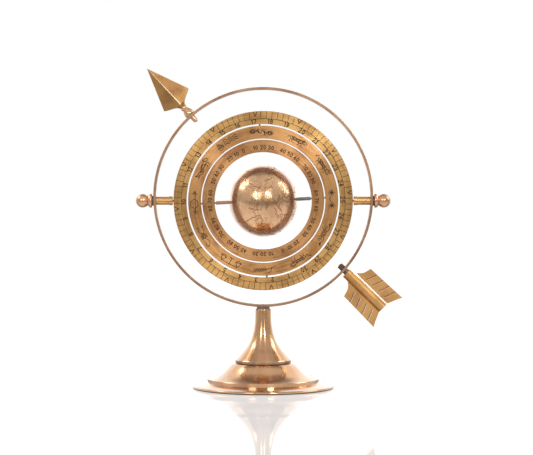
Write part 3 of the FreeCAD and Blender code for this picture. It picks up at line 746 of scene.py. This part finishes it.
def ragged(points, rng):
    """The outline with small irregular bays and capes."""
    rough = []
    for (ax, ay), (bx, by) in zip(points, points[1:] + points[:1]):
        pieces = max(1, round(math.hypot(bx - ax, by - ay) / 4))
        for k in range(pieces):
            t = k / pieces
            swing = 0.0 if k == 0 else 1.3
            rough.append((ax + (bx - ax) * t + rng.uniform(-swing, swing),
                          ay + (by - ay) * t + rng.uniform(-swing, swing)))
    return rough + rough[:1]


def scroll(x, y, length, rng):
    """A run of small waves in any direction, like ornamental writing."""
    heading = rng.uniform(0, math.pi)
    along, across = math.cos(heading), math.sin(heading)
    points = []
    for k in range(int(length / SCROLL_PITCH)):
        swing = rng.choice((-2.0, -1.2, 1.2, 2.0)) * (1 if k % 2 else -0.5)
        run = SCROLL_PITCH * k
        points.append((x + along * run - across * swing, y + across * run + along * swing))
    return points


def map_lines():
    """Coasts and scrolls as shapes in degrees of longitude and latitude."""
    rng = random.Random(4)
    shapes = []
    for coast in COASTS:
        turned = [(x + GLOBE_TURN, y) for x, y in coast]
        shapes += stroke(ragged(turned, rng), COAST_WIDTH)
    for _ in range(SCROLLS):
        x, y = rng.uniform(-170, 160), rng.uniform(-62, 62)
        shapes += stroke(scroll(x, y, rng.uniform(10, 24), rng), SCROLL_WIDTH)
    return shapes


def globe_half(node, side, sleeve, shapes, materials):
    """Stands for one shell of the globe. side is 1 for the half towards the axle's end, else -1."""
    low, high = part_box(sleeve)
    bore = (high.y - low.y) / 2
    spokes = [v.co - PIVOT for v in nodes[node].data.vertices]
    radius = max(spoke.cross(AXLE).length for spoke in spokes)
    seam_inner = min(spoke.length for spoke in spokes)
    reach = max(abs(spoke.dot(AXLE)) for spoke in spokes)
    flatness = reach / math.sqrt(radius**2 - bore**2)
    wall = radius * flatness - seam_inner
    front = Vector((0, -1, 0))
    east = front.cross(AXLE)
    last = math.degrees(math.acos(bore / radius))
    seam_margin, pole_margin = 1.2, 3.0

    def on_globe(longitude, latitude, depth=0.0):
        lon, lat = math.radians(longitude), math.radians(latitude)
        around = front * math.cos(lon) + east * math.sin(lon)
        pole = radius * flatness - depth
        return PIVOT + around * math.cos(lat) * (radius - depth) + AXLE * math.sin(lat) * pole

    def to_surface(longitude, latitude, sunk):
        return on_globe(longitude, latitude, GLOBE_CUT_MM * MM if sunk else 0.0)

    columns = [-180 + 360 * k / GLOBE_COLUMNS for k in range(GLOBE_COLUMNS + 1)]
    rows = [side * last * k / GLOBE_ROWS for k in range(GLOBE_ROWS + 1)]
    tiles = []
    for west, east_edge in zip(columns, columns[1:]):
        for a, b in zip(rows, rows[1:]):
            south, north = min(a, b), max(a, b)
            tiles.append([(west, south), (east_edge, south), (east_edge, north), (west, north)])
    kept = [
        shape for shape in shapes
        if all(seam_margin < side * y < last - pole_margin and abs(x) <= 180 for x, y in shape)
    ]
    piece = Engraving()
    piece.cut(tiles, kept, to_surface)
    loops = [[on_globe(x, rows[-1]) for x in columns[:-1]]]
    loops += [[on_globe(x, row, wall) for x in columns[:-1]] for row in reversed(rows)]
    loops.append([on_globe(x, 0) for x in columns[:-1]])
    piece.lathe(loops)
    shell = piece.build(node + "_engraved", materials)
    true_normals(shell.data, radius, flatness)
    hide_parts(node)
    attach(shell, "globe")


def true_normals(mesh, radius, flatness):
    """Gives every plain face on the globe the exact surface normals, for clean reflections."""
    tolerance = 0.001
    normals = [Vector((0, 0, 0))] * len(mesh.loops)
    for face in mesh.polygons:
        rounded = []
        for v in face.vertices:
            spoke = mesh.vertices[v].co - PIVOT
            along = AXLE * spoke.dot(AXLE)
            across = spoke - along
            size = math.hypot(across.length / radius, along.length / (radius * flatness))
            if abs(size - 1) > tolerance:
                break
            rounded.append((across + along / flatness**2).normalized())
        else:
            if face.normal.dot(rounded[0]) > 0.9:
                for loop, normal in zip(face.loop_indices, rounded):
                    normals[loop] = normal
    mesh.normals_split_custom_set(normals)


# ---- Finishes ----

# Painted shade: in other pieces' reflections, as at the edge of the globe, the rings take a duller, redder
# brown than they show from the front.
RING_WORK = dict(axis="Y", streak=1.5, bump=0.2, anisotropy=0.65, in_mirrors=(0.43, 0.33, 0.30))
LACQUERED = dict(coat=0.9, wear=0.15, bump=0.04, streak=0.25)
SPUN = dict(rough=0.16, axis="Z", patina=0.3, streak=0.12, bump=0.0, wear=0.15, anisotropy=0.95,
            coat=0.9, coat_ior=1.75)
SATIN = dict(bump=0.03, streak=0.3, wear=0.4)

outer_brass = metal("outer_ring_brass", (0.78, 0.45, 0.165), (0.34, 0.175, 0.06), 0.34, patina=0.5,
                    **RING_WORK)
middle_brass = metal("middle_ring_brass", (0.75, 0.395, 0.155), (0.32, 0.145, 0.055), 0.34, patina=0.45,
                     **RING_WORK)
inner_copper = metal("inner_ring_copper", (0.69, 0.36, 0.145), (0.30, 0.13, 0.055), 0.34, patina=0.45,
                     **RING_WORK)
hoop_copper = metal("hoop_copper", (0.50, 0.30, 0.18), (0.24, 0.125, 0.075), 0.34, "Y", patina=0.4,
                    wear=0.25)
dish_copper = metal("dish_copper", (0.64, 0.335, 0.145), (0.41, 0.19, 0.075), **SPUN)
stem_copper = metal("stem_copper", (0.62, 0.33, 0.145), (0.37, 0.165, 0.06), gap_shade_mm=6.0, **SPUN)
knob_copper = metal("knob_copper", (0.70, 0.42, 0.24), (0.46, 0.24, 0.13), 0.3, "X", patina=0.3,
                    coat=0.25, **SATIN)
globe_copper = metal("globe_copper", (0.80, 0.475, 0.25), (0.48, 0.25, 0.125), 0.2, patina=0.35,
                     dents=0.35, etched=1.0, coat_ior=1.5, **LACQUERED)
head_brass = metal("arrow_head_brass", (0.50, 0.275, 0.10), (0.26, 0.115, 0.05), 0.4, "BLADE",
                   patina=0.5, ridge_highlight=True, **SATIN)
tail_brass = metal("arrow_tail_brass", (0.64, 0.355, 0.135), (0.38, 0.19, 0.07), 0.42, "BLADE",
                   patina=0.45, sunk_mm=(0.35, 0.88, 2.3), **SATIN)
spacer_brass = metal("spacer_brass", (0.68, 0.39, 0.155), (0.46, 0.25, 0.10), 0.28, "X", patina=0.3,
                     anisotropy=0.5, **SATIN)
sleeve_copper = metal("sleeve_copper", (0.52, 0.27, 0.17), (0.20, 0.10, 0.07), 0.3, patina=0.4)
sleeve_steel = metal("sleeve_steel", (0.24, 0.22, 0.19), (0.09, 0.08, 0.07), 0.3, patina=0.4)
black_steel = metal("black_steel", (0.20, 0.13, 0.10), (0.06, 0.036, 0.028), 0.32, patina=0.5,
                    wear=0.5)
plain_steel = metal("plain_steel", (0.32, 0.26, 0.22), (0.12, 0.09, 0.08), 0.3, patina=0.5)
wax = engraving_black("engraving_black", (0.060, 0.028, 0.012))
globe_wax = metal("globe_engraving", (0.50, 0.26, 0.14), (0.26, 0.13, 0.07), 0.3)
dark_felt = felt()

engraved_ring("outer_ring", "outer_gimbal", hour_scale(), [outer_brass, wax])
engraved_ring("middle_ring", "middle_gimbal", figure_band(), [middle_brass, wax])
engraved_ring("inner_ring", "inner_gimbal", degree_scale(), [inner_copper, wax])
globe_shapes = map_lines()
globe_half("globe_right_shell", 1, "right_axle_sleeve", globe_shapes, [globe_copper, globe_wax])
globe_half("globe_left_shell", -1, "left_axle_sleeve", globe_shapes, [globe_copper, globe_wax])

CARRIED_OVER = {
    dish_copper: ["base_dish"],
    stem_copper: ["stem"],
    knob_copper: ["left_finial", "right_finial", "head_ferrule", "head_rivet"],
    hoop_copper: ["hoop"],
    spacer_brass: ["left_spacer", "right_spacer"],
    head_brass: ["arrow_head"],
    tail_brass: ["arrow_tail"],
    sleeve_copper: ["left_axle_sleeve"],
    sleeve_steel: ["right_axle_sleeve"],
    plain_steel: ["tie_rod", "hoop_seat_washer", "left_pivot_stud", "right_pivot_stud", "tail_stud",
                  "axle_rod", "upper_ring_pin", "lower_ring_pin"],
    black_steel: ["base_washer", "base_nut", "left_finial_washer", "right_finial_washer",
                  "tail_washer", "tail_nut"],
    dark_felt: ["felt_pad"],
}
for material, names in CARRIED_OVER.items():
    for name in names:
        nodes[name].data.materials.clear()
        nodes[name].data.materials.append(material)


# ---- Studio ----

def floor():
    """White table top. To the camera it is white, with a faint sharp reflection of the foot and a
    thin painted contact shadow; in the metal its glow fades towards the front, with painted shade just
    behind the foot."""
    bpy.ops.mesh.primitive_plane_add(size=12, location=(0, 0, cad_box[0][2]))
    table = bpy.context.object
    table.name = "table_top"
    g = finish_graph("table_top")
    # Painted contact shadow.
    contact = g.span(g.open_air(6 * MM), 0.2, 0.8, 0.35, 1.0)
    _, y, _ = g.split(g.node("ShaderNodeNewGeometry").outputs["Position"])
    in_metal = g.span(y, -1.0, -0.05, 0.28, 1.0)
    # Painted shade just behind the foot, seen only in the metal.
    shade_behind_foot = g.math("MULTIPLY", g.span(y, 0.0, 0.05, 0.0, 0.6), g.span(y, 0.35, 0.15))
    in_metal = g.math("SUBTRACT", in_metal, shade_behind_foot)
    camera_ray = g.node("ShaderNodeLightPath").outputs["Is Camera Ray"]
    tone = g.math("MAXIMUM", in_metal, camera_ray)
    tone = g.math("MULTIPLY", tone, contact)
    glow = g.node("ShaderNodeEmission", {"Color": g.vector(tone, tone, tone), "Strength": 1.0})
    sheen = g.node("ShaderNodeBsdfGlossy", {"Color": (1, 1, 1), "Roughness": 0.03})
    share = g.math("MULTIPLY", camera_ray, 0.33)
    blend = g.node("ShaderNodeMixShader", {0: share, 1: glow.outputs[0], 2: sheen.outputs[0]})
    table.data.materials.append(g.surface(blend))


def surroundings():
    """White to the camera. In reflections: a bright backdrop behind up to a height, the dim room
    above it, and grey sides, ceiling and front."""
    world = bpy.data.worlds.new("studio")
    bpy.context.scene.world = world
    g = Graph(world)
    # Directions: x to the right, y away from the camera and z up, each from -1 to 1.
    x, y, z = g.split(g.node("ShaderNodeTexCoord").outputs["Generated"])
    backdrop = g.math("MULTIPLY", g.span(y, 0.4, 0.6), g.span(z, 0.75, 0.55))
    sides = g.span(x, -0.9, 0.9, 0.58, 0.55)
    ceiling = g.span(z, 0.1, 0.8, 0.0, 0.3)
    near_camera = g.span(y, -0.6, -0.95, 0.0, -0.09)
    behind = g.span(y, 0.05, 0.4, 0.0, 0.4)
    level = g.math("ADD", g.math("ADD", sides, behind), g.math("ADD", ceiling, near_camera))
    above = g.math("MULTIPLY", g.span(y, -0.1, 0.25), g.span(z, 0.6, 0.75))
    above = g.math("MULTIPLY", above, g.span(g.math("ABSOLUTE", x), 0.45, 0.25))
    level = g.math("MULTIPLY", level, g.math("SUBTRACT", 1.0, g.math("MULTIPLY", above, 0.7)))
    camera_ray = g.node("ShaderNodeLightPath").outputs["Is Camera Ray"]
    level = g.math("MAXIMUM", g.math("MULTIPLY", backdrop, 1.4), level)
    level = g.math("ADD", g.math("MULTIPLY", level, g.math("SUBTRACT", 1.0, camera_ray)), camera_ray)
    sky = g.node("ShaderNodeBackground", {"Color": g.vector(level, level, level)})
    g.surface(sky, "ShaderNodeOutputWorld")


def softbox(name, direction, distance, width, height, watts):
    """Area lamp that faces the globe from a direction."""
    data = bpy.data.lights.new(name, "AREA")
    data.shape = "RECTANGLE"
    data.size = width
    data.size_y = height
    data.energy = watts
    lamp = bpy.data.objects.new(name, data)
    bpy.context.scene.collection.objects.link(lamp)
    away = Vector(direction).normalized()
    lamp.location = PIVOT + away * distance
    lamp.rotation_euler = (-away).to_track_quat("-Z", "Y").to_euler()


def camera():
    """Long lens straight in front, level with the hoop's centre and tilted a little down."""
    aside_mm, away_mm, aim_low_mm = 3.0, 1600, 27.7
    data = bpy.data.cameras.new("camera")
    data.lens = 118.5
    data.sensor_width = 36
    eye = bpy.data.objects.new("camera", data)
    bpy.context.scene.collection.objects.link(eye)
    hoop_low, hoop_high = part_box("hoop")
    hoop_centre = (hoop_low + hoop_high) / 2
    eye.location = hoop_centre + Vector((aside_mm, -away_mm, 0)) * MM
    aim = hoop_centre + Vector((aside_mm, 0, -aim_low_mm)) * MM
    eye.rotation_euler = (aim - eye.location).to_track_quat("-Z", "Y").to_euler()
    bpy.context.scene.camera = eye


floor()
surroundings()
softbox("left_softbox", (-0.78, 0.07, 0.62), 1.3, 0.56, 0.5, 4)
softbox("right_softbox", (0.82, 0.11, 0.50), 1.3, 0.5, 0.6, 5)
softbox("front_left_lamp", (-0.37, -0.87, 0.32), 1.9, 0.48, 0.48, 6)
softbox("front_right_lamp", (0.26, -0.88, 0.34), 1.9, 0.36, 0.36, 8)
camera()
bpy.context.scene.view_settings.view_transform = "Standard"
